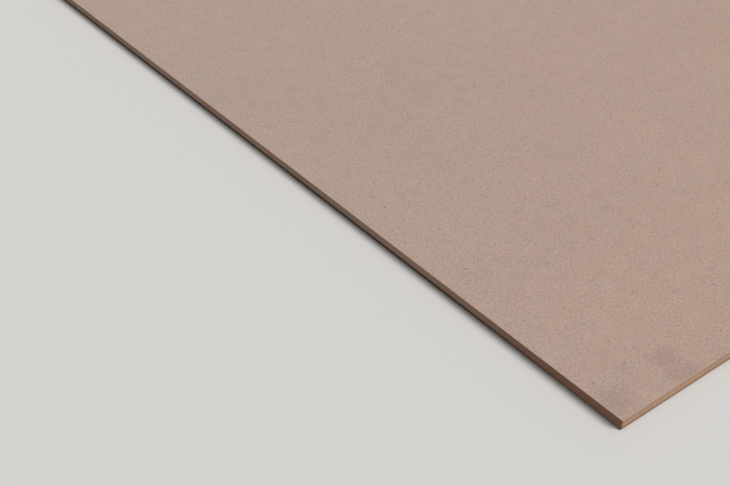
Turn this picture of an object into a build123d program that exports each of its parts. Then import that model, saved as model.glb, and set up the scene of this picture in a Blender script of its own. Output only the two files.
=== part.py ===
from build123d import *
import os

# One full sheet of thin raw medium density fibreboard, lying flat.
# X runs along the length, Y along the width and Z is up.
# The origin is the middle of the underside.

# Sheet size
length = 2440.0
width = 1220.0
thickness = 3.0

# The panel saw leaves the four upright corners square, and handling takes them back to this radius
corner_radius = 0.25

# Sanding and stacking take the sharp arrises off, all round both faces
arris_ease = 0.1


def trimmed_outline():
    """The saw-trimmed rectangle of the sheet, seen from above, with its corners just taken off."""
    return RectangleRounded(length, width, corner_radius)


def ease_arrises(sheet):
    """The sheet with the small flat that wear leaves where each face meets the sawn edges."""
    lower_face = sheet.faces().sort_by(Axis.Z)[0]
    upper_face = sheet.faces().sort_by(Axis.Z)[-1]
    arrises = lower_face.edges() + upper_face.edges()
    return chamfer(arrises, arris_ease)


def make_board():
    """One pressed, sanded and trimmed sheet, in one piece."""
    blank = extrude(trimmed_outline(), amount=thickness)
    board = ease_arrises(blank)
    board.label = "mdf_board"
    return board


os.makedirs("parts", exist_ok=True)
export_step(make_board(), "parts/mdf_board.step")
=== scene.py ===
# %% [markdown]
# A full sheet of thin raw fibreboard
#
# The real object is one sheet, pressed from wood fibre and resin, sanded on both faces and sawn to
# size. It is long, wide and only 3 mm thick, so nearly all of its looks are in its surfaces: a
# sanded face with felted fibres and small dark flecks, and browner sawn edges.
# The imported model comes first, because every size below is read from it.

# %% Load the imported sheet
import math

import bmesh
import bpy
from mathutils import Euler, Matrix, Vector, noise


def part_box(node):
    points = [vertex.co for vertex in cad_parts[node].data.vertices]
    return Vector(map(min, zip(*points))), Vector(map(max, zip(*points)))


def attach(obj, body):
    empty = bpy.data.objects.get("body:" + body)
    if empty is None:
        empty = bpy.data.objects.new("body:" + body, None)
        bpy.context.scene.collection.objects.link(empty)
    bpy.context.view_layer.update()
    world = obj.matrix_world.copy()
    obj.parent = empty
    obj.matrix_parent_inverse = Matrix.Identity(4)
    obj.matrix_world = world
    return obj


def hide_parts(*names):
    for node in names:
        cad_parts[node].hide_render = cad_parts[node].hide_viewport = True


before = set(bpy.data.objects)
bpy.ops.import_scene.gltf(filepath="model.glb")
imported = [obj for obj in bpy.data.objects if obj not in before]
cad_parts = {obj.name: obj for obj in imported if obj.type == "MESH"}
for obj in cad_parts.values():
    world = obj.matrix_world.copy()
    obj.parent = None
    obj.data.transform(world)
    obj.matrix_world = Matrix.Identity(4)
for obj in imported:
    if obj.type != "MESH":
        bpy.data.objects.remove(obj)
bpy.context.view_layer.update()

MM = 0.001
SHEET_LOW, SHEET_HIGH = (Vector(corner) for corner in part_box("mdf_board"))
LENGTH, WIDTH, THICKNESS = SHEET_HIGH - SHEET_LOW
print(f"sheet {LENGTH / MM:.0f} by {WIDTH / MM:.0f} by {THICKNESS / MM:.1f} mm")

# %% [markdown]
# The camera
#
# The picture is a close view of one corner, taken from about 21 cm above the sheet. Both edges that
# meet there run away to their own vanishing points, and those two points give the lens, the tilt and
# the heading. The corner's own place in the picture then gives the last thing, where the camera is.
# Moving a camera by hand until the edges line up also works, but it never gets both edges right.

# %% Place the camera from the near corner
PICTURE_WIDTH = 730
PICTURE_HEIGHT = 486
FOCAL_LENGTH_IN_PIXELS = 1243.0
SENSOR_WIDTH = 36.0
CAMERA_PITCH = math.radians(37.5)
CAMERA_HEADING = math.radians(52.05)
CORNER_IN_PICTURE = (622.6, 421.2)
CORNER_DISTANCE = 293 * MM
NEAREST_SEEN = 10 * MM

near_corner = Vector((SHEET_HIGH.x, SHEET_LOW.y, SHEET_HIGH.z))
camera_turn = Euler((math.pi / 2 - CAMERA_PITCH, 0, CAMERA_HEADING))
picture_right, picture_up, backwards = camera_turn.to_matrix().transposed()
across = (CORNER_IN_PICTURE[0] - PICTURE_WIDTH / 2) / FOCAL_LENGTH_IN_PIXELS * CORNER_DISTANCE
below = (CORNER_IN_PICTURE[1] - PICTURE_HEIGHT / 2) / FOCAL_LENGTH_IN_PIXELS * CORNER_DISTANCE

camera_data = bpy.data.cameras.new("camera")
camera_data.sensor_width = SENSOR_WIDTH
camera_data.lens = FOCAL_LENGTH_IN_PIXELS * SENSOR_WIDTH / PICTURE_WIDTH
camera_data.clip_start = NEAREST_SEEN
camera = bpy.data.objects.new("camera", camera_data)
camera.rotation_euler = camera_turn
camera.location = near_corner - picture_right * across + picture_up * below + backwards * CORNER_DISTANCE
bpy.context.scene.collection.objects.link(camera)
bpy.context.scene.camera = camera
camera_height = (camera.location.z - SHEET_HIGH.z) / MM
print(f"camera {camera_height:.0f} mm above the sheet, lens {camera_data.lens:.1f} mm")

# %% [markdown]
# The blank
#
# A panel saw leaves the sheet a true rectangle, and handling takes a little off its four upright
# corners and its arrises, which are the long lines where a face meets an edge. The blank is made in
# the same order as the real one: a flat rectangle, its corners rounded, the sheet given its
# thickness, and then the arrises eased. Two bevels do the rounding. A modifier could do it too, but
# the edges still have to be roughened afterwards, and that needs the real vertices. The grid's size
# is half its side, so a size of a half is a square of one metre, which is then scaled to the sheet.

# %% Make the blank
CORNER_RADIUS = 0.25 * MM
CORNER_STEPS = 4
ARRIS_EASE = 0.1 * MM
ARRIS_STEPS = 2
LEVEL_WITHIN = 0.1 * THICKNESS


def flat_lengthwise(edge):
    """True for an edge that lies level, so that it runs round a face and not up the sheet's side."""
    return abs(edge.verts[0].co.z - edge.verts[1].co.z) < LEVEL_WITHIN


def make_blank():
    """A closed sheet with rounded upright corners and eased arrises."""
    sheet = bmesh.new()
    bmesh.ops.create_grid(sheet, x_segments=1, y_segments=1, size=0.5)
    bmesh.ops.scale(sheet, verts=sheet.verts, vec=(LENGTH, WIDTH, 1))
    bmesh.ops.bevel(
        sheet, geom=sheet.verts[:], affect="VERTICES", offset=CORNER_RADIUS, offset_type="OFFSET",
        segments=CORNER_STEPS, profile=0.5, material=-1, clamp_overlap=True)
    raised = bmesh.ops.extrude_face_region(sheet, geom=sheet.faces[:])["geom"]
    upper = [part for part in raised if isinstance(part, bmesh.types.BMVert)]
    bmesh.ops.translate(sheet, verts=upper, vec=(0, 0, THICKNESS))
    bmesh.ops.recalc_face_normals(sheet, faces=sheet.faces)
    arrises = [edge for edge in sheet.edges if flat_lengthwise(edge)]
    bmesh.ops.bevel(
        sheet, geom=arrises, affect="EDGES", offset=ARRIS_EASE, offset_type="OFFSET",
        segments=ARRIS_STEPS, profile=0.5, material=-1, clamp_overlap=True)
    return sheet


sheet_mesh = make_blank()
print(f"blank with {len(sheet_mesh.verts)} vertices and {len(sheet_mesh.faces)} faces")

# %% [markdown]
# Fine cuts along the edges
#
# The edges need many small faces before they can be made rough, but the two big faces don't, because
# they are truly flat. So only the walls are cut: first into rows up the thickness, then into short
# steps along the length. The steps are finest round the corner that the picture shows close up.
# Cutting the whole sheet into an even grid would need millions of faces for the same edges.

# %% Cut the walls into rows and short steps
WALL_CUTS = 5
COARSE_STEP = 1.25 * MM
FINE_STEP = 0.5 * MM
FINE_LENGTH = 330 * MM
FINE_WIDTH = 80 * MM
LONGER_THAN_A_STEP = FINE_WIDTH / 2
RUN_TOLERANCE = 1.01
LEVEL_FACE_NORMAL = 0.99


def lies_in_a_face(edge):
    """True for an edge between two pieces of the upper face or of the underside."""
    return all(abs(face.normal.z) > LEVEL_FACE_NORMAL for face in edge.link_faces)


def cut_walls(sheet):
    """Cuts the walls into rows, and each row into steps, finer beside the near corner."""
    uprights = [
        edge for edge in sheet.edges if edge.calc_length() > THICKNESS / 2 and not flat_lengthwise(edge)]
    bmesh.ops.subdivide_edges(sheet, edges=uprights, cuts=WALL_CUTS, use_grid_fill=True)
    for point, normal in (
        ((SHEET_HIGH.x - FINE_LENGTH, 0, 0), (1, 0, 0)),
        ((0, SHEET_LOW.y + FINE_WIDTH, 0), (0, 1, 0)),
    ):
        bmesh.ops.bisect_plane(
            sheet, geom=sheet.verts[:] + sheet.edges[:] + sheet.faces[:], plane_co=point, plane_no=normal)
    sheet.normal_update()

    runs = {}
    for edge in sheet.edges:
        if edge.calc_length() < LONGER_THAN_A_STEP or lies_in_a_face(edge):
            continue
        middle = (edge.verts[0].co + edge.verts[1].co) / 2
        side = "along" if abs(edge.verts[0].co.x - edge.verts[1].co.x) > LONGER_THAN_A_STEP else "across"
        place = middle.x if side == "along" else middle.y
        far_side = middle.y > 0 if side == "along" else middle.x < 0
        runs.setdefault((side, far_side, round(place / MM)), []).append(edge)
    for (side, far_side, _), edges in runs.items():
        run_length = max(edge.calc_length() for edge in edges)
        fine_part = FINE_LENGTH if side == "along" else FINE_WIDTH
        step = FINE_STEP if run_length < fine_part * RUN_TOLERANCE and not far_side else COARSE_STEP
        bmesh.ops.subdivide_edges(sheet, edges=edges, cuts=round(run_length / step) - 1, use_grid_fill=True)
    return sheet


cut_walls(sheet_mesh)
print(f"cut into {len(sheet_mesh.verts)} vertices and {len(sheet_mesh.faces)} faces")

# %% [markdown]
# The sawn edge's roughness
#
# A saw tears the soft middle of the board a little more than its two hard pressed skins, and its
# teeth leave faint upright ridges. The relief is only a few hundredths of a millimetre, but it
# catches the light along the arrises. Each wall vertex moves straight inwards by a hollow towards
# the middle, by the ridges, and by a torn, fibrous noise. Nothing moves outwards, so the sheet keeps
# its size. A Displace modifier could do this, but it can't tell the skins from the middle.

# %% Roughen the sawn edges
CORE_HOLLOW = 0.03 * MM
TEAR_DEPTH = 0.05 * MM
TEAR_SIZE = 1.4 * MM
TEAR_LAYER = 0.35 * MM
TEAR_ROUGHNESS = 0.8
TEAR_LACUNARITY = 2.0
TEAR_OCTAVES = 3
RIDGE_DEPTH = 0.02 * MM
RIDGE_SPACING = 2.6 * MM
RIDGE_LEAN = 0.3
RIDGE_LEVEL = 7.0
ARRIS_SHARE = 0.35
SIDEWAYS_NORMAL = 0.05


def sawn_depth(place):
    """How far the saw and the torn fibres take a point of the wall inwards."""
    height = place.z / THICKNESS
    to_core = 1 - (2 * height - 1) ** 2
    tear_place = Vector((place.x / TEAR_SIZE, place.y / TEAR_SIZE, place.z / TEAR_LAYER))
    torn = noise.fractal(tear_place, TEAR_ROUGHNESS, TEAR_LACUNARITY, TEAR_OCTAVES)
    ridge_x = (place.x + RIDGE_LEAN * place.z) / RIDGE_SPACING
    ridge = noise.noise(Vector((ridge_x, place.y / RIDGE_SPACING, RIDGE_LEVEL)))
    share = ARRIS_SHARE + (1 - ARRIS_SHARE) * to_core
    depth = CORE_HOLLOW * to_core + share * (TEAR_DEPTH * max(torn, 0) + RIDGE_DEPTH * max(ridge, 0))
    return max(depth, 0)


def roughen_walls(sheet):
    """Moves every vertex of the walls and arrises straight inwards by its sawn depth."""
    sheet.normal_update()
    moves = []
    for vert in sheet.verts:
        level_normal = Vector((vert.normal.x, vert.normal.y, 0))
        near_outline = min(LENGTH / 2 - abs(vert.co.x), WIDTH / 2 - abs(vert.co.y)) < 2 * CORNER_RADIUS
        if near_outline and level_normal.length > SIDEWAYS_NORMAL:
            moves.append((vert, level_normal.normalized() * -sawn_depth(vert.co)))
    for vert, move in moves:
        vert.co += move
    return max(move.length for vert, move in moves)


deepest = roughen_walls(sheet_mesh)
print(f"walls roughened by up to {deepest / MM:.3f} mm")

# %% [markdown]
# Node helpers
#
# The finishes are shader nodes that work on Object coordinates, which here are real metres on the
# sheet, so each grain size is a real size. These few helpers add a node and link or set its sockets
# in one line. Building the nodes by hand in the editor gives the same result but can't be rerun. A
# noise wanders about a half, so its difference from a half is what makes a place lighter or darker.

# %% Helpers that add nodes
NOISE_MIDDLE = 0.5


def add_node(tree, kind, sockets=None, **settings):
    """Adds a node, sets its properties, and links or sets its input sockets by name or number."""
    node = tree.nodes.new(kind)
    for name, value in settings.items():
        setattr(node, name, value)
    for key, value in (sockets or {}).items():
        if isinstance(value, bpy.types.NodeSocket):
            tree.links.new(value, node.inputs[key])
        else:
            node.inputs[key].default_value = value
    return node


def maths(tree, operation, *values):
    """A Math node's result."""
    return add_node(tree, "ShaderNodeMath", dict(enumerate(values)), operation=operation).outputs[0]


def vector_maths(tree, operation, *values):
    """A Vector Math node's result."""
    node = add_node(tree, "ShaderNodeVectorMath", dict(enumerate(values)), operation=operation)
    return node.outputs["Value"] if operation in ("LENGTH", "DOT_PRODUCT") else node.outputs["Vector"]


def vector_of(tree, x, y, z):
    """Three numbers as one vector."""
    return add_node(tree, "ShaderNodeCombineXYZ", {0: x, 1: y, 2: z}).outputs[0]


def times(tree, vector, factor):
    """A vector or a colour with all its parts times one number."""
    return add_node(tree, "ShaderNodeVectorMath", {0: vector, "Scale": factor}, operation="SCALE").outputs[0]


def turn_about_z(tree, vector, angle):
    """A vector turned about the upright axis."""
    sockets = {"Vector": vector, "Angle": angle}
    return add_node(tree, "ShaderNodeVectorRotate", sockets, rotation_type="Z_AXIS").outputs[0]


def ramp_between(tree, value, start, end, low=0.0, high=1.0):
    """A smooth step of value from low at start to high at end."""
    sockets = {"Value": value, "From Min": start, "From Max": end, "To Min": low, "To Max": high}
    node = add_node(tree, "ShaderNodeMapRange", sockets, interpolation_type="SMOOTHSTEP")
    return node.outputs["Result"]


def mix_colours(tree, share, first, second, blend="MIX"):
    """A Mix node's colour. Its sockets 0, 6 and 7 are the share and the two colours, and output 2 the mix."""
    sockets = {0: share, 6: first, 7: second}
    return add_node(tree, "ShaderNodeMix", sockets, data_type="RGBA", blend_type=blend).outputs[2]


def noise_at(tree, vector, dimensions="3D", **sockets):
    """A Noise Texture node whose pattern follows the given vector."""
    sockets = {"Vector": vector, "Scale": 1.0, **sockets}
    return add_node(tree, "ShaderNodeTexNoise", sockets, noise_dimensions=dimensions)


def about_zero(tree, noise_colour):
    """A noise's three colours as a push to any side, about zero."""
    return vector_maths(tree, "SUBTRACT", noise_colour, (NOISE_MIDDLE, NOISE_MIDDLE, NOISE_MIDDLE))


print("node helpers ready")

# %% [markdown]
# Helpers for groups
#
# An effect that is placed several times, each time with other values, is made once as a node group.
# Its inputs are named, so that a finish reads like a short recipe of what lies on it.

# %% Helpers for node groups


def new_group(name, inputs, output):
    """A node group with its named inputs and one output, as (tree, input sockets, output socket)."""
    tree = bpy.data.node_groups.new(name, "ShaderNodeTree")
    for label, default in inputs.items():
        kind = "NodeSocketVector" if isinstance(default, tuple) else "NodeSocketFloat"
        tree.interface.new_socket(label, in_out="INPUT", socket_type=kind).default_value = default
    tree.interface.new_socket(output, in_out="OUTPUT", socket_type="NodeSocketFloat")
    given = add_node(tree, "NodeGroupInput").outputs
    result = add_node(tree, "NodeGroupOutput").inputs[output]
    return tree, given, result


def use_group(tree, group, place, **sockets):
    """Places a group in a tree at a position, and gives its output."""
    sockets = {"Position": place, **sockets}
    return add_node(tree, "ShaderNodeGroup", sockets, node_tree=group).outputs[0]


print("group helpers ready")

# %% [markdown]
# Felted fibres
#
# Under a lens the board is a felt: pale threads of wood, a fifth of a millimetre thick and a
# millimetre or two long, lie over each other in every direction. A noise stretched along one
# direction has long thin contour lines, and those lines look like threads. Four such noises, each
# turned another way and bent by a slower noise, cross each other like the real felt. Drawing
# single hairs would show the same at this size, but there are millions of them on a sheet.

# %% Build the felted fibres group
THREAD_ANGLES = (8, 52, 97, 143)
THREAD_SHARPNESS = 5.0
BENDS_PER_LENGTH = 0.4
THREAD_SHIFT = (3.7, 1.3)


def thread_field(tree, bent, stretch, angle):
    """The threads that lie in one direction, from 0 to 1."""
    drawn_out = vector_maths(tree, "MULTIPLY", turn_about_z(tree, bent, math.radians(angle)), stretch)
    shifted = vector_maths(tree, "ADD", drawn_out, (angle * THREAD_SHIFT[0], angle * THREAD_SHIFT[1], 0.0))
    field = noise_at(tree, shifted, "2D", Detail=1.0).outputs[0]
    off_line = maths(tree, "ABSOLUTE", maths(tree, "SUBTRACT", field, NOISE_MIDDLE))
    falloff = maths(tree, "MULTIPLY", off_line, THREAD_SHARPNESS)
    return maths(tree, "MAXIMUM", maths(tree, "SUBTRACT", 1.0, falloff), 0.0)


def felted_fibres_group():
    """Crossing threads from 0 to 1, for a position in millimetres."""
    inputs = {"Position": (0.0, 0.0, 0.0), "Length": 1.6, "Width": 0.22, "Bend": 1.2}
    tree, given, result = new_group("felted_fibres", inputs, "Fibres")
    slow = times(tree, given["Position"], maths(tree, "DIVIDE", BENDS_PER_LENGTH, given["Length"]))
    bend = about_zero(tree, noise_at(tree, slow, Detail=1.0).outputs["Color"])
    bent = vector_maths(tree, "ADD", given["Position"], times(tree, bend, given["Bend"]))
    per_length = maths(tree, "DIVIDE", 1.0, given["Length"])
    per_width = maths(tree, "DIVIDE", 1.0, given["Width"])
    stretch = vector_of(tree, per_length, per_width, 1.0)
    threads = 0.0
    for angle in THREAD_ANGLES:
        threads = maths(tree, "ADD", threads, thread_field(tree, bent, stretch, angle))
    tree.links.new(maths(tree, "DIVIDE", threads, float(len(THREAD_ANGLES))), result)
    return tree


felted_fibres = felted_fibres_group()
print(f"felted fibres with {len(felted_fibres.nodes)} nodes")

# %% [markdown]
# Scattered flecks
#
# Bits of bark and scorched fibre show as small dark specks, and split fibre shows as pale slivers,
# each its own size and turned its own way. Voronoi cells scatter them: every cell has one random
# colour, whose red says if the cell has a fleck at all, whose green gives its size and whose blue
# turns it. A plain noise with a threshold is simpler, but it gives blots of one kind, evenly spread.

# %% Build the flecks group
RAGGED_SCALE = 2.3
RAGGED_PUSH = 0.45
SMALLEST_SHARE = 0.4
FLECK_RIM = 1.25
FLECK_HEART = 0.55


def scattered_flecks_group():
    """Scattered specks from 0 to 1, for a position in millimetres."""
    inputs = {"Position": (0.0, 0.0, 0.0), "Spacing": 1.5, "Radius": 0.25, "Share": 0.4, "Slimness": 1.6}
    tree, given, result = new_group("scattered_flecks", inputs, "Flecks")
    ragged = noise_at(tree, given["Position"], Scale=RAGGED_SCALE, Detail=1.0).outputs["Color"]
    push = times(tree, about_zero(tree, ragged), RAGGED_PUSH)
    loose = vector_maths(tree, "ADD", given["Position"], push)
    cells_in = times(tree, loose, maths(tree, "DIVIDE", 1.0, given["Spacing"]))
    cells = add_node(
        tree, "ShaderNodeTexVoronoi", {"Vector": cells_in, "Scale": 1.0}, voronoi_dimensions="2D")
    draws = add_node(tree, "ShaderNodeSeparateColor", {0: cells.outputs["Color"]})
    chance, size_draw, turn_draw = draws.outputs

    from_middle = vector_maths(tree, "SUBTRACT", cells_in, cells.outputs["Position"])
    flat = vector_maths(tree, "MULTIPLY", from_middle, (1.0, 1.0, 0.0))
    turned = turn_about_z(tree, flat, maths(tree, "MULTIPLY", turn_draw, math.tau))
    slim = vector_maths(tree, "MULTIPLY", turned, vector_of(tree, 1.0, given["Slimness"], 1.0))
    reach = maths(tree, "MULTIPLY", vector_maths(tree, "LENGTH", slim), given["Spacing"])
    radius = maths(tree, "MULTIPLY", given["Radius"], maths(tree, "ADD", SMALLEST_SHARE, size_draw))
    inside = ramp_between(tree, maths(tree, "DIVIDE", reach, radius), FLECK_RIM, FLECK_HEART)
    present = maths(tree, "LESS_THAN", chance, given["Share"])
    tree.links.new(maths(tree, "MULTIPLY", inside, present), result)
    return tree


scattered_flecks = scattered_flecks_group()
print(f"scattered flecks with {len(scattered_flecks.nodes)} nodes")

# %% [markdown]
# Cloudy tone
#
# Fibre from different wood lies in soft clouds, so no two hand-widths of board are quite the same
# tan. A noise does this well. The group centres it on zero, so that a finish can add clouds of
# several sizes without getting lighter or darker as a whole. Its shift chooses another part of the
# same endless noise.

# %% Build the clouds group
CLOUD_GAIN = 4.0
CLOUD_RANGE = (-1.0, 1.0)


def cloudy_tone_group():
    """Soft clouds from about -1 to 1, for a position and a cloud size in millimetres."""
    inputs = {"Position": (0.0, 0.0, 0.0), "Size": 20.0, "Shift": 0.0}
    tree, given, result = new_group("cloudy_tone", inputs, "Clouds")
    scaled = times(tree, given["Position"], maths(tree, "DIVIDE", 1.0, given["Size"]))
    shifted = vector_maths(tree, "ADD", scaled, vector_of(tree, given["Shift"], given["Shift"], 0.0))
    field = noise_at(tree, shifted, "2D", Detail=2.0, Roughness=0.5).outputs[0]
    centred = maths(tree, "SUBTRACT", field, NOISE_MIDDLE)
    tree.links.new(maths(tree, "MULTIPLY", centred, CLOUD_GAIN), result)
    return tree


cloudy_tone = cloudy_tone_group()
print(f"clouds with {len(cloudy_tone.nodes)} nodes")

# %% [markdown]
# Handling smudges
#
# Hands and dust leave greyish patches beside the corner. A smudge has one middle, a radius and a soft
# ragged rim. Painting them on an image would tie them to one resolution, so each smudge is a
# distance from its middle, bent by a noise.

# %% Build the smudge group
RIM_SCALE = 0.35
RIM_DEPTH = 1.6
SMUDGE_RIM = 1.1
SMUDGE_HEART = 0.2


def handling_smudge_group():
    """One soft ragged patch from 0 to 1, for a position in millimetres."""
    inputs = {"Position": (0.0, 0.0, 0.0), "Middle": (0.0, 0.0, 0.0), "Radius": 8.0}
    tree, given, result = new_group("handling_smudge", inputs, "Smudge")
    offset = vector_maths(tree, "SUBTRACT", given["Position"], given["Middle"])
    flat = vector_maths(tree, "MULTIPLY", offset, (1.0, 1.0, 0.0))
    share = maths(tree, "DIVIDE", vector_maths(tree, "LENGTH", flat), given["Radius"])
    rim = noise_at(tree, given["Position"], "2D", Scale=RIM_SCALE, Detail=3.0, Roughness=0.6).outputs[0]
    ragged = maths(tree, "MULTIPLY_ADD", maths(tree, "SUBTRACT", rim, NOISE_MIDDLE), RIM_DEPTH, share)
    tree.links.new(ramp_between(tree, ragged, SMUDGE_RIM, SMUDGE_HEART), result)
    return tree


handling_smudge = handling_smudge_group()
print(f"smudge with {len(handling_smudge.nodes)} nodes")

# %% [markdown]
# Starting and closing a finish
#
# Both finishes of the sheet begin with the place on it in millimetres, and both close with one
# shader and a fine bump. What lies between is their colour. Tones are gathered as a sum of small
# differences from one, because each is only a few percent, and a sum keeps the colour's average.

# %% Helpers for a finish


def start_finish(name):
    """A new material, as (material, tree, position in millimetres)."""
    material = bpy.data.materials.new(name)
    material.use_nodes = True
    tree = material.node_tree
    tree.nodes.clear()
    coordinates = add_node(tree, "ShaderNodeTexCoord")
    return material, tree, times(tree, coordinates.outputs["Object"], 1 / MM)


def sum_of_tones(tree, parts):
    """One, plus how far each value is from its middle times its weight."""
    total = 1.0
    for value, middle, weight in parts:
        total = maths(tree, "MULTIPLY_ADD", maths(tree, "SUBTRACT", value, middle), weight, total)
    return total


def close_finish(tree, colour, roughness, gloss, relief, strength, depth):
    """The shader with its bump, linked to the material's output."""
    bump = add_node(tree, "ShaderNodeBump", {"Height": relief, "Strength": strength, "Distance": depth})
    shader = add_node(tree, "ShaderNodeBsdfPrincipled", {
        "Base Color": colour, "Roughness": roughness, "Normal": bump.outputs[0], "Specular IOR Level": gloss})
    out = add_node(tree, "ShaderNodeOutputMaterial")
    tree.links.new(shader.outputs[0], out.inputs["Surface"])


print("finish helpers ready")

# %% [markdown]
# The sanded face: hue
#
# The face is a pinkish tan that wanders very slowly, over half an arm's length, between a warmer and
# a cooler tan, and a little between pink and grey from one fingertip to the next. Two cloud fields
# do it, a huge one that mixes two tans and a small one that tints the result. The huge one's shift
# was picked out of many, so that the near corner lies in a warm part that cools along the sheet. One
# single colour looks like paint, and stronger hues look like stains.

# %% Hue of the sanded face
FACE_WARM = (0.428, 0.3005, 0.246, 1.0)
FACE_COOL = (0.406, 0.3095, 0.2635, 1.0)
HUE_DRIFT_SIZE = 420.0
HUE_DRIFT_SHIFT = 282.0

TINT_PINK = (1.008, 0.997, 0.995, 1.0)
TINT_GREY = (0.992, 1.003, 1.005, 1.0)
TINT_SIZE = 9.0
TINT_SHIFT = 47.0


def face_hue(tree, place):
    """The face's base colour, before anything lies on it."""
    drift = use_group(tree, cloudy_tone, place, Size=HUE_DRIFT_SIZE, Shift=HUE_DRIFT_SHIFT)
    base = mix_colours(tree, ramp_between(tree, drift, *CLOUD_RANGE), FACE_COOL, FACE_WARM)
    spots = use_group(tree, cloudy_tone, place, Size=TINT_SIZE, Shift=TINT_SHIFT)
    tint = mix_colours(tree, ramp_between(tree, spots, *CLOUD_RANGE), TINT_PINK, TINT_GREY)
    return mix_colours(tree, 1.0, base, tint, "MULTIPLY")


print(f"hue drifts over {HUE_DRIFT_SIZE:.0f} mm and {TINT_SIZE:.0f} mm")

# %% [markdown]
# The sanded face: tone
#
# The face's light and dark is very even. From large to small it has three sizes of cloud, wide bands
# and fine streaks that a belt sander leaves along the sheet, crossing fibres, and a fine grain. The
# grain and the fibres are by far the strongest, and they are what makes the face look like felt.

# %% Tone of the sanded face
TONE_CLOUDS = ((160.0, 3.0, 0.014), (28.0, 11.0, 0.012), (5.0, 23.0, 0.027))
SANDER_BANDS = (0.0006, 0.03, 0.0)
SANDER_STREAKS = (0.004, 1.1, 0.0)
BAND_WEIGHT = 0.02
STREAK_WEIGHT = 0.03
FIBRE_WEIGHT = 0.45
GRAIN_WEIGHT = 0.58


def face_tone(tree, place, fibres, grain):
    """How light the face is at a place, around one."""
    parts = []
    for size, shift, weight in TONE_CLOUDS:
        parts.append((use_group(tree, cloudy_tone, place, Size=size, Shift=shift), 0.0, weight))
    bands = noise_at(tree, vector_maths(tree, "MULTIPLY", place, SANDER_BANDS), "2D", Detail=2.0)
    streaks = noise_at(
        tree, vector_maths(tree, "MULTIPLY", place, SANDER_STREAKS), "2D", Detail=3.0, Roughness=0.6)
    parts += [
        (fibres, NOISE_MIDDLE, FIBRE_WEIGHT), (grain, NOISE_MIDDLE, GRAIN_WEIGHT),
        (bands.outputs[0], NOISE_MIDDLE, BAND_WEIGHT), (streaks.outputs[0], NOISE_MIDDLE, STREAK_WEIGHT)]
    return sum_of_tones(tree, parts)


print(f"{len(TONE_CLOUDS)} sizes of cloud, fibres {FIBRE_WEIGHT} and grain {GRAIN_WEIGHT} of the tone")

# %% [markdown]
# The sanded face: flecks and smudges
#
# Three kinds of fleck lie in the face: pale slivers of split fibre, many fine dark specks, and a few
# coarse ones a fingernail apart. Over them lie three faint smudges near one corner, where the sheet
# is taken hold of: one right at the corner, and two that run into each other 2.5 cm along the short
# edge. Each kind is one use of its group with its own spacing, size and shape.

# %% Flecks and smudges of the sanded face
FIBRE_PALE = (0.620, 0.490, 0.415, 1.0)
FLECK_BROWN = (0.150, 0.092, 0.062, 1.0)
SMUDGE_GREY = (0.250, 0.168, 0.130, 1.0)
SLIVER_OFFSET = (311.0, 173.0, 0.0)
SMUDGE_STRENGTH = 0.27

NO_OFFSET = (0.0, 0.0, 0.0)
FLECK_KINDS = (
    (FIBRE_PALE, 0.30, SLIVER_OFFSET, dict(Spacing=2.1, Radius=0.20, Share=0.50, Slimness=2.6)),
    (FLECK_BROWN, 0.28, NO_OFFSET, dict(Spacing=1.3, Radius=0.24, Share=0.45, Slimness=1.5)),
    (FLECK_BROWN, 0.45, NO_OFFSET, dict(Spacing=6.0, Radius=0.42, Share=0.40, Slimness=1.9)),
)
SMUDGES = (
    ((near_corner.x / MM - 5.8, near_corner.y / MM + 3.0, 0.0), 6.6),
    ((near_corner.x / MM - 8.4, near_corner.y / MM + 25.4, 0.0), 5.8),
    ((near_corner.x / MM - 2.2, near_corner.y / MM + 23.6, 0.0), 6.0),
)


def lay_flecks(tree, place, colour, kinds):
    """A colour with every kind of fleck laid over it."""
    for fleck_colour, strength, offset, sockets in kinds:
        flecks = use_group(tree, scattered_flecks, vector_maths(tree, "ADD", place, offset), **sockets)
        colour = mix_colours(tree, maths(tree, "MULTIPLY", flecks, strength), colour, fleck_colour)
    return colour


def lay_smudges(tree, place, colour):
    """A colour with the handling smudges laid over it."""
    smudged = 0.0
    for middle, radius in SMUDGES:
        patch = use_group(tree, handling_smudge, place, Middle=middle, Radius=radius)
        smudged = maths(tree, "MAXIMUM", smudged, patch)
    return mix_colours(tree, maths(tree, "MULTIPLY", smudged, SMUDGE_STRENGTH), colour, SMUDGE_GREY)


print(f"{len(FLECK_KINDS)} kinds of fleck and {len(SMUDGES)} smudges")

# %% [markdown]
# The sanded face: its finish
#
# Now the parts come together. The same fibres and grain that colour the face also make its bump, a
# few hundredths of a millimetre deep, and its roughness, so that light and colour agree. Sanded
# fibreboard is matte, with only a breath of sheen on the fibres.

# %% Finish of the sanded faces
FACE_ROUGHNESS = 0.66
FIBRE_ROUGHNESS = 0.25
FACE_GLOSS = 0.35
FACE_RELIEF = 0.03 * MM
FACE_BUMP = 0.6
FACE_GRAIN_SCALE = 1.5
FIBRE_RELIEF_SHARE = 0.6
GRAIN_RELIEF_SHARE = 0.4


def sanded_face_finish():
    """The material of the two big faces."""
    material, tree, place = start_finish("sanded_fibreboard")
    fibres = use_group(tree, felted_fibres, place)
    grain = noise_at(tree, place, "2D", Scale=FACE_GRAIN_SCALE, Detail=2.0, Roughness=0.7).outputs[0]
    colour = times(tree, face_hue(tree, place), face_tone(tree, place, fibres, grain))
    colour = lay_flecks(tree, place, colour, FLECK_KINDS)
    colour = lay_smudges(tree, place, colour)
    grain_relief = maths(tree, "MULTIPLY", grain, GRAIN_RELIEF_SHARE)
    relief = maths(tree, "MULTIPLY_ADD", fibres, FIBRE_RELIEF_SHARE, grain_relief)
    roughness = maths(
        tree, "MULTIPLY_ADD", maths(tree, "SUBTRACT", fibres, NOISE_MIDDLE), FIBRE_ROUGHNESS, FACE_ROUGHNESS)
    close_finish(tree, colour, roughness, FACE_GLOSS, relief, FACE_BUMP, FACE_RELIEF)
    return material


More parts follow.
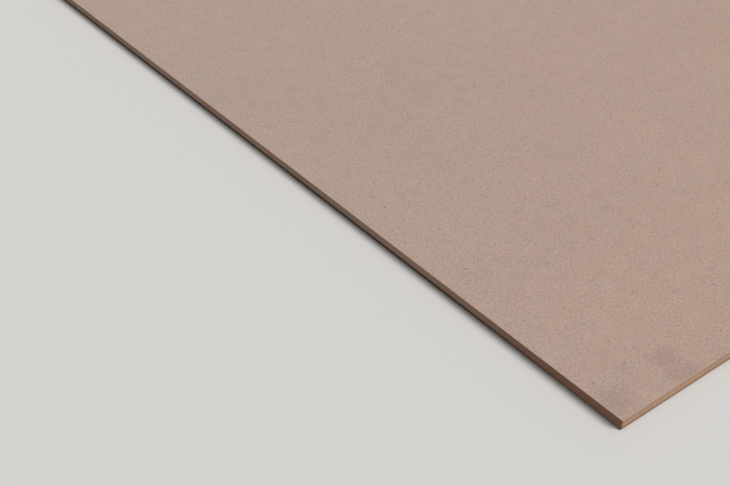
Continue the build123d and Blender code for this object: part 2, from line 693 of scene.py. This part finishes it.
sanded_face = sanded_face_finish()
print(f"sanded face with {len(sanded_face.node_tree.nodes)} nodes")

# %% [markdown]
# The sawn edge: pressed layers
#
# The saw opens the board, so the edge shows how it was pressed, in thin layers that run along the
# sheet. It is browner and yellower than the sanded face. The layers are a noise squeezed along the
# thickness, and the fibres, slivers and pits are the face's own, squeezed flat, because the press
# lays them down. They need a place that runs along the wall: x plus y does that on all four walls,
# since one of the two never changes on each. The saw's teeth are a noise that varies only along the
# edge.

# %% Layers of the sawn edge
EDGE_BROWN = (0.360, 0.227, 0.158, 1.0)
EDGE_PALE = (0.432, 0.283, 0.201, 1.0)
LAYER_GRAIN = (0.16, 0.16, 4.0)
FUZZ_GRAIN = (2.6, 2.6, 5.5)
TOOTH_GRAIN = (1.4, 1.4, 0.15)
DRIFT_GRAIN = (0.05, 0.05, 0.0)
FIBRE_SQUEEZE = 3.0
FUZZ_WEIGHT = 0.35
EDGE_FIBRE_WEIGHT = 0.40
TOOTH_WEIGHT = 0.20
DRIFT_WEIGHT = 0.30
BROWN_TO_PALE = (0.3, 0.7)
FUZZ_RELIEF_SHARE = 0.6
LAYER_RELIEF_SHARE = 0.4
EDGE_FIBRE_RELIEF_SHARE = 0.5

SLIVER_PALE = (0.560, 0.400, 0.300, 1.0)
PIT_BROWN = (0.130, 0.075, 0.048, 1.0)
EDGE_FLECK_KINDS = (
    (SLIVER_PALE, 0.35, SLIVER_OFFSET, dict(Spacing=1.1, Radius=0.16, Share=0.55, Slimness=1.4)),
    (PIT_BROWN, 0.40, NO_OFFSET, dict(Spacing=0.9, Radius=0.13, Share=0.50, Slimness=1.2)),
)


def place_along_wall(tree, place):
    """A flat place on any wall, as (distance along it, height times the squeeze, 0)."""
    along, across, upward = add_node(tree, "ShaderNodeSeparateXYZ", {0: place}).outputs
    along_wall = maths(tree, "ADD", along, across)
    return vector_of(tree, along_wall, maths(tree, "MULTIPLY", upward, FIBRE_SQUEEZE), 0.0)


def edge_layers(tree, place, along_wall):
    """The layers' colour, the relief that the layers, the fibres and the saw leave, and the fuzz."""
    layers = noise_at(
        tree, vector_maths(tree, "MULTIPLY", place, LAYER_GRAIN), Detail=3.0, Roughness=0.6).outputs[0]
    fuzz = noise_at(
        tree, vector_maths(tree, "MULTIPLY", place, FUZZ_GRAIN), Detail=2.0, Roughness=0.7).outputs[0]
    teeth = noise_at(tree, vector_maths(tree, "MULTIPLY", place, TOOTH_GRAIN), Detail=2.0).outputs[0]
    drift = noise_at(tree, vector_maths(tree, "MULTIPLY", place, DRIFT_GRAIN), Detail=3.0).outputs[0]
    fibres = use_group(tree, felted_fibres, along_wall)
    colour = mix_colours(tree, ramp_between(tree, layers, *BROWN_TO_PALE), EDGE_BROWN, EDGE_PALE)
    tone = sum_of_tones(tree, [
        (fuzz, NOISE_MIDDLE, FUZZ_WEIGHT), (fibres, NOISE_MIDDLE, EDGE_FIBRE_WEIGHT),
        (teeth, NOISE_MIDDLE, TOOTH_WEIGHT), (drift, NOISE_MIDDLE, DRIFT_WEIGHT)])
    relief = maths(tree, "MULTIPLY_ADD", layers, LAYER_RELIEF_SHARE, teeth)
    relief = maths(tree, "MULTIPLY_ADD", fuzz, FUZZ_RELIEF_SHARE, relief)
    relief = maths(tree, "MULTIPLY_ADD", fibres, EDGE_FIBRE_RELIEF_SHARE, relief)
    colour = lay_flecks(tree, along_wall, times(tree, colour, tone), EDGE_FLECK_KINDS)
    return colour, relief, fuzz


print(f"fibres squeezed {FIBRE_SQUEEZE:.0f} times flatter on the edge than on the face")

# %% [markdown]
# The sawn edge: skins, darker ends and painted shade at the foot
#
# The press bakes the board's two outer skins harder and darker than its middle. The lower skin is
# laid on far darker than the upper one, and that extra darkness is painted shade at the foot of
# every wall. Each long edge is darker and browner over a hand's width at the sheet's +X end. Along
# the foot of the long edges lies painted shade, a dark band for the shadow in a gap under the
# sheet. It fades out over the last 70 mm before the +X end, and wraps a little way round the
# corners at the -X end. The short edges are otherwise without it, and are a little yellower. The
# skins are ramps in height, the darker end is a ramp in distance from the sheet's end, and the
# painted shade is both at once. A painted image mask would do the same, but it would need an image,
# and a ramp stays sharp from any distance.

# %% Skins, darker ends and painted foot shade of the sawn edge
SKIN_AND_FOOT_SHADE_BROWN = (0.205, 0.128, 0.080, 1.0)
EDGE_DARKER_END = (0.250, 0.117, 0.070, 1.0)
# Painted shade: this dark brown stands for the shadow in the gap under the long edges.
EDGE_FOOT_PAINTED_SHADE = (0.045, 0.024, 0.014, 1.0)
SHORT_EDGE_TINT = (1.0, 0.95, 0.89, 1.0)
UPPER_SKIN = (0.62, 0.90)
# The lower skin is pressed skin and painted shade at the foot: it is laid on far darker than the upper one,
# on every wall.
LOWER_SKIN_AND_FOOT_SHADE = (0.42, 0.14)
LONG_EDGE_SKIN = 0.08
SHORT_EDGE_SKIN = 0.30
LOWER_SKIN_AND_FOOT_SHADE_STRENGTH = 0.7
DARKER_END_FROM_END = (78.0, 14.0)
DARKER_END_STRENGTH = 0.74
FOOT_SHADE_FROM_END = (8.0, 70.0)
FOOT_SHADE_HEIGHT = (0.36, 0.14)
FOOT_SHADE_WRAP = 14.0
FOOT_SHADE_STRENGTH = 0.9
LONG_EDGE_BAND = 0.5


def mark_and_shade_edge(tree, place, height, colour):
    """A colour with the pressed skins, the darker ends and the painted shade at the foot laid over it."""
    along, across, upward = add_node(tree, "ShaderNodeSeparateXYZ", {0: place}).outputs
    from_end = maths(tree, "SUBTRACT", LENGTH / MM / 2, along)
    from_middle = maths(tree, "ABSOLUTE", across)
    band_start = WIDTH / MM / 2 - LONG_EDGE_BAND
    on_long_edge = maths(tree, "GREATER_THAN", from_middle, band_start)
    near_long_edge = ramp_between(tree, from_middle, band_start - FOOT_SHADE_WRAP, band_start)
    on_short_edge = maths(tree, "SUBTRACT", 1.0, on_long_edge)
    colour = mix_colours(tree, on_short_edge, colour, SHORT_EDGE_TINT, "MULTIPLY")

    skin_strength = maths(
        tree, "MULTIPLY_ADD", on_long_edge, LONG_EDGE_SKIN - SHORT_EDGE_SKIN, SHORT_EDGE_SKIN)
    upper_skin = maths(tree, "MULTIPLY", ramp_between(tree, height, *UPPER_SKIN), skin_strength)
    # Darker towards the foot: the lower skin, with painted shade for the shadow at the wall's foot.
    lower_skin_and_foot_shade = ramp_between(tree, height, *LOWER_SKIN_AND_FOOT_SHADE, high=LOWER_SKIN_AND_FOOT_SHADE_STRENGTH)
    colour = mix_colours(tree, maths(tree, "MAXIMUM", upper_skin, lower_skin_and_foot_shade), colour, SKIN_AND_FOOT_SHADE_BROWN)

    # Darker and browner over the last hand's width of each long edge, at the sheet's +X end.
    darkened = ramp_between(tree, from_end, *DARKER_END_FROM_END, high=DARKER_END_STRENGTH)
    colour = mix_colours(tree, maths(tree, "MULTIPLY", darkened, on_long_edge), colour, EDGE_DARKER_END)

    # Painted shade along the foot of the long edges, for the shadow in the gap under the sheet.
    painted_foot_shade = maths(tree, "MULTIPLY", ramp_between(tree, from_end, *FOOT_SHADE_FROM_END), near_long_edge)
    painted_foot_shade = maths(tree, "MULTIPLY", painted_foot_shade, ramp_between(tree, height, *FOOT_SHADE_HEIGHT, high=FOOT_SHADE_STRENGTH))
    return mix_colours(tree, painted_foot_shade, colour, EDGE_FOOT_PAINTED_SHADE)


print(f"scorched over the last {DARKER_END_FROM_END[0]:.0f} mm of the long edges")

# %% [markdown]
# The sawn edge: its finish
#
# Hands and cloths rub the upper arris, and there the colour goes over to the tan of the face. The
# sawn edge is rougher than the face, and its bump is deeper, because no belt has smoothed it.

# %% Finish of the sawn edges
ARRIS_TAN = (0.419, 0.304, 0.250, 1.0)
RUBBED_ARRIS = (0.968, 0.992)
EDGE_ROUGHNESS = 0.82
FUZZ_ROUGHNESS = 0.2
EDGE_GLOSS = 0.25
EDGE_RELIEF = 0.08 * MM
EDGE_BUMP = 0.7


def sawn_edge_finish():
    """The material of the four walls and the arrises."""
    material, tree, place = start_finish("sawn_fibreboard")
    upward = add_node(tree, "ShaderNodeSeparateXYZ", {0: place}).outputs[2]
    height = maths(tree, "DIVIDE", upward, THICKNESS / MM)
    colour, relief, fuzz = edge_layers(tree, place, place_along_wall(tree, place))
    colour = mark_and_shade_edge(tree, place, height, colour)
    colour = mix_colours(tree, ramp_between(tree, height, *RUBBED_ARRIS), colour, ARRIS_TAN)
    roughness = maths(
        tree, "MULTIPLY_ADD", maths(tree, "SUBTRACT", fuzz, NOISE_MIDDLE), FUZZ_ROUGHNESS, EDGE_ROUGHNESS)
    close_finish(tree, colour, roughness, EDGE_GLOSS, relief, EDGE_BUMP, EDGE_RELIEF)
    return material


sawn_edge = sawn_edge_finish()
print(f"sawn edge with {len(sawn_edge.node_tree.nodes)} nodes")

# %% [markdown]
# The finished sheet
#
# The mesh becomes one object at the origin. Flat faces keep the sanded finish, and the walls and
# arrises get the sawn one. The walls are shaded smooth, so that their fine steps don't show.

# %% Turn the mesh into the sheet


def finish_sheet(sheet):
    """Makes the object from the mesh, with a finish on every face."""
    sheet.normal_update()
    for face in sheet.faces:
        is_wall = abs(face.normal.z) < LEVEL_FACE_NORMAL
        face.material_index = 1 if is_wall else 0
        face.smooth = is_wall
    data = bpy.data.meshes.new("fibreboard_sheet")
    sheet.to_mesh(data)
    sheet.free()
    data.materials.append(sanded_face)
    data.materials.append(sawn_edge)
    piece = bpy.data.objects.new("fibreboard_sheet", data)
    bpy.context.scene.collection.objects.link(piece)
    return piece


board = finish_sheet(sheet_mesh)
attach(board, "root")
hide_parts("mdf_board")
print(f"sheet has {sum(len(face.vertices) - 2 for face in board.data.polygons)} triangles")

# %% [markdown]
# The floor
#
# The sheet lies on a plain pale floor. A thin sheet is never quite flat, so a real one touches the
# floor only here and there, and a fine dark line shows under its edges. Here the floor lies a third
# of a millimetre lower than the sheet, which gives that line without bending the sheet. The floor
# shows the camera a pale colour, but bounces less light than that back to the sheet, so that the
# shaded edge stays dark. A Light Path node tells the two apart.

# %% Lay the floor
FLOOR_SIZE = 60.0
FLOOR_GAP = 0.35 * MM
FLOOR_SHOWN = (0.66, 0.645, 0.625, 1.0)
FLOOR_BOUNCED = (0.42, 0.405, 0.39, 1.0)
FLOOR_ROUGHNESS = 0.9
FLOOR_GLOSS = 0.1


def seen_directly(tree):
    """1 for what the camera, a reflection or a see-through surface shows, and 0 for bounced light."""
    path = add_node(tree, "ShaderNodeLightPath")
    seen = maths(tree, "MAXIMUM", path.outputs["Is Camera Ray"], path.outputs["Is Glossy Ray"])
    return maths(tree, "MAXIMUM", seen, path.outputs["Is Transmission Ray"])


def lay_floor():
    """A wide level floor just under the sheet."""
    mesh = bmesh.new()
    bmesh.ops.create_grid(mesh, x_segments=1, y_segments=1, size=FLOOR_SIZE / 2)
    bmesh.ops.translate(mesh, verts=mesh.verts, vec=(0, 0, SHEET_LOW.z - FLOOR_GAP))
    data = bpy.data.meshes.new("floor")
    mesh.to_mesh(data)
    mesh.free()
    material = bpy.data.materials.new("pale_floor")
    material.use_nodes = True
    tree = material.node_tree
    shader = tree.nodes["Principled BSDF"]
    shader.inputs["Roughness"].default_value = FLOOR_ROUGHNESS
    shader.inputs["Specular IOR Level"].default_value = FLOOR_GLOSS
    colour = mix_colours(tree, seen_directly(tree), FLOOR_BOUNCED, FLOOR_SHOWN)
    tree.links.new(colour, shader.inputs["Base Color"])
    data.materials.append(material)
    floor = bpy.data.objects.new("floor", data)
    bpy.context.scene.collection.objects.link(floor)
    return floor


floor = lay_floor()
print(f"floor {FLOOR_SIZE:.0f} m wide, {FLOOR_GAP / MM:.2f} mm under the sheet")

# %% [markdown]
# The light
#
# The light is soft and comes from the right of the picture, which leaves the long edge in shade and
# lights the short one. A sun with a wide angle lights the whole sheet evenly, where an area lamp near
# one corner would leave the far end dark. The world gives the rest, a little more from the sun's
# side, and shows the camera one even pale colour instead of that light. The Standard view transform
# shows the colours as they are written.

# %% Light the sheet
SUN_SHARE = 0.60
SUN_ELEVATION = math.radians(45)
SUN_AZIMUTH = math.radians(25)
SUN_ANGLE = math.radians(30)
WORLD_LOW = 0.30
WORLD_HIGH = 0.50
AWAY_TO_TOWARDS = (-1.0, 1.0)
WHITE = (1.0, 1.0, 1.0, 1.0)
BACKDROP = (0.667, 0.653, 0.625, 1.0)


def add_sun():
    """One wide soft sun, whose share of the light is what falls on a level face."""
    data = bpy.data.lights.new("key", "SUN")
    data.energy = math.pi * SUN_SHARE / math.sin(SUN_ELEVATION)
    data.angle = SUN_ANGLE
    sun = bpy.data.objects.new("key", data)
    sun.rotation_euler = (0, math.pi / 2 - SUN_ELEVATION, SUN_AZIMUTH)
    bpy.context.scene.collection.objects.link(sun)
    return sun


def light_world():
    """A soft surround, brighter towards the sun's side, with an even pale backdrop."""
    world = bpy.data.worlds.new("studio")
    bpy.context.scene.world = world
    world.use_nodes = True
    tree = world.node_tree
    tree.nodes.clear()
    direction = add_node(tree, "ShaderNodeTexCoord").outputs["Generated"]
    towards = (math.cos(SUN_AZIMUTH), math.sin(SUN_AZIMUTH), 0.0)
    facing = vector_maths(tree, "DOT_PRODUCT", direction, towards)
    level = ramp_between(tree, facing, *AWAY_TO_TOWARDS, WORLD_LOW, WORLD_HIGH)
    lighting = add_node(tree, "ShaderNodeBackground", {"Color": WHITE, "Strength": level})
    backdrop = add_node(tree, "ShaderNodeBackground", {"Color": BACKDROP, "Strength": 1.0})
    both = add_node(
        tree, "ShaderNodeMixShader", {0: seen_directly(tree), 1: lighting.outputs[0], 2: backdrop.outputs[0]})
    out = add_node(tree, "ShaderNodeOutputWorld")
    tree.links.new(both.outputs[0], out.inputs["Surface"])


add_sun()
light_world()
bpy.context.scene.view_settings.view_transform = "Standard"
print(f"the sun gives {SUN_SHARE:.0%} of the light on a level face, and the world the rest")
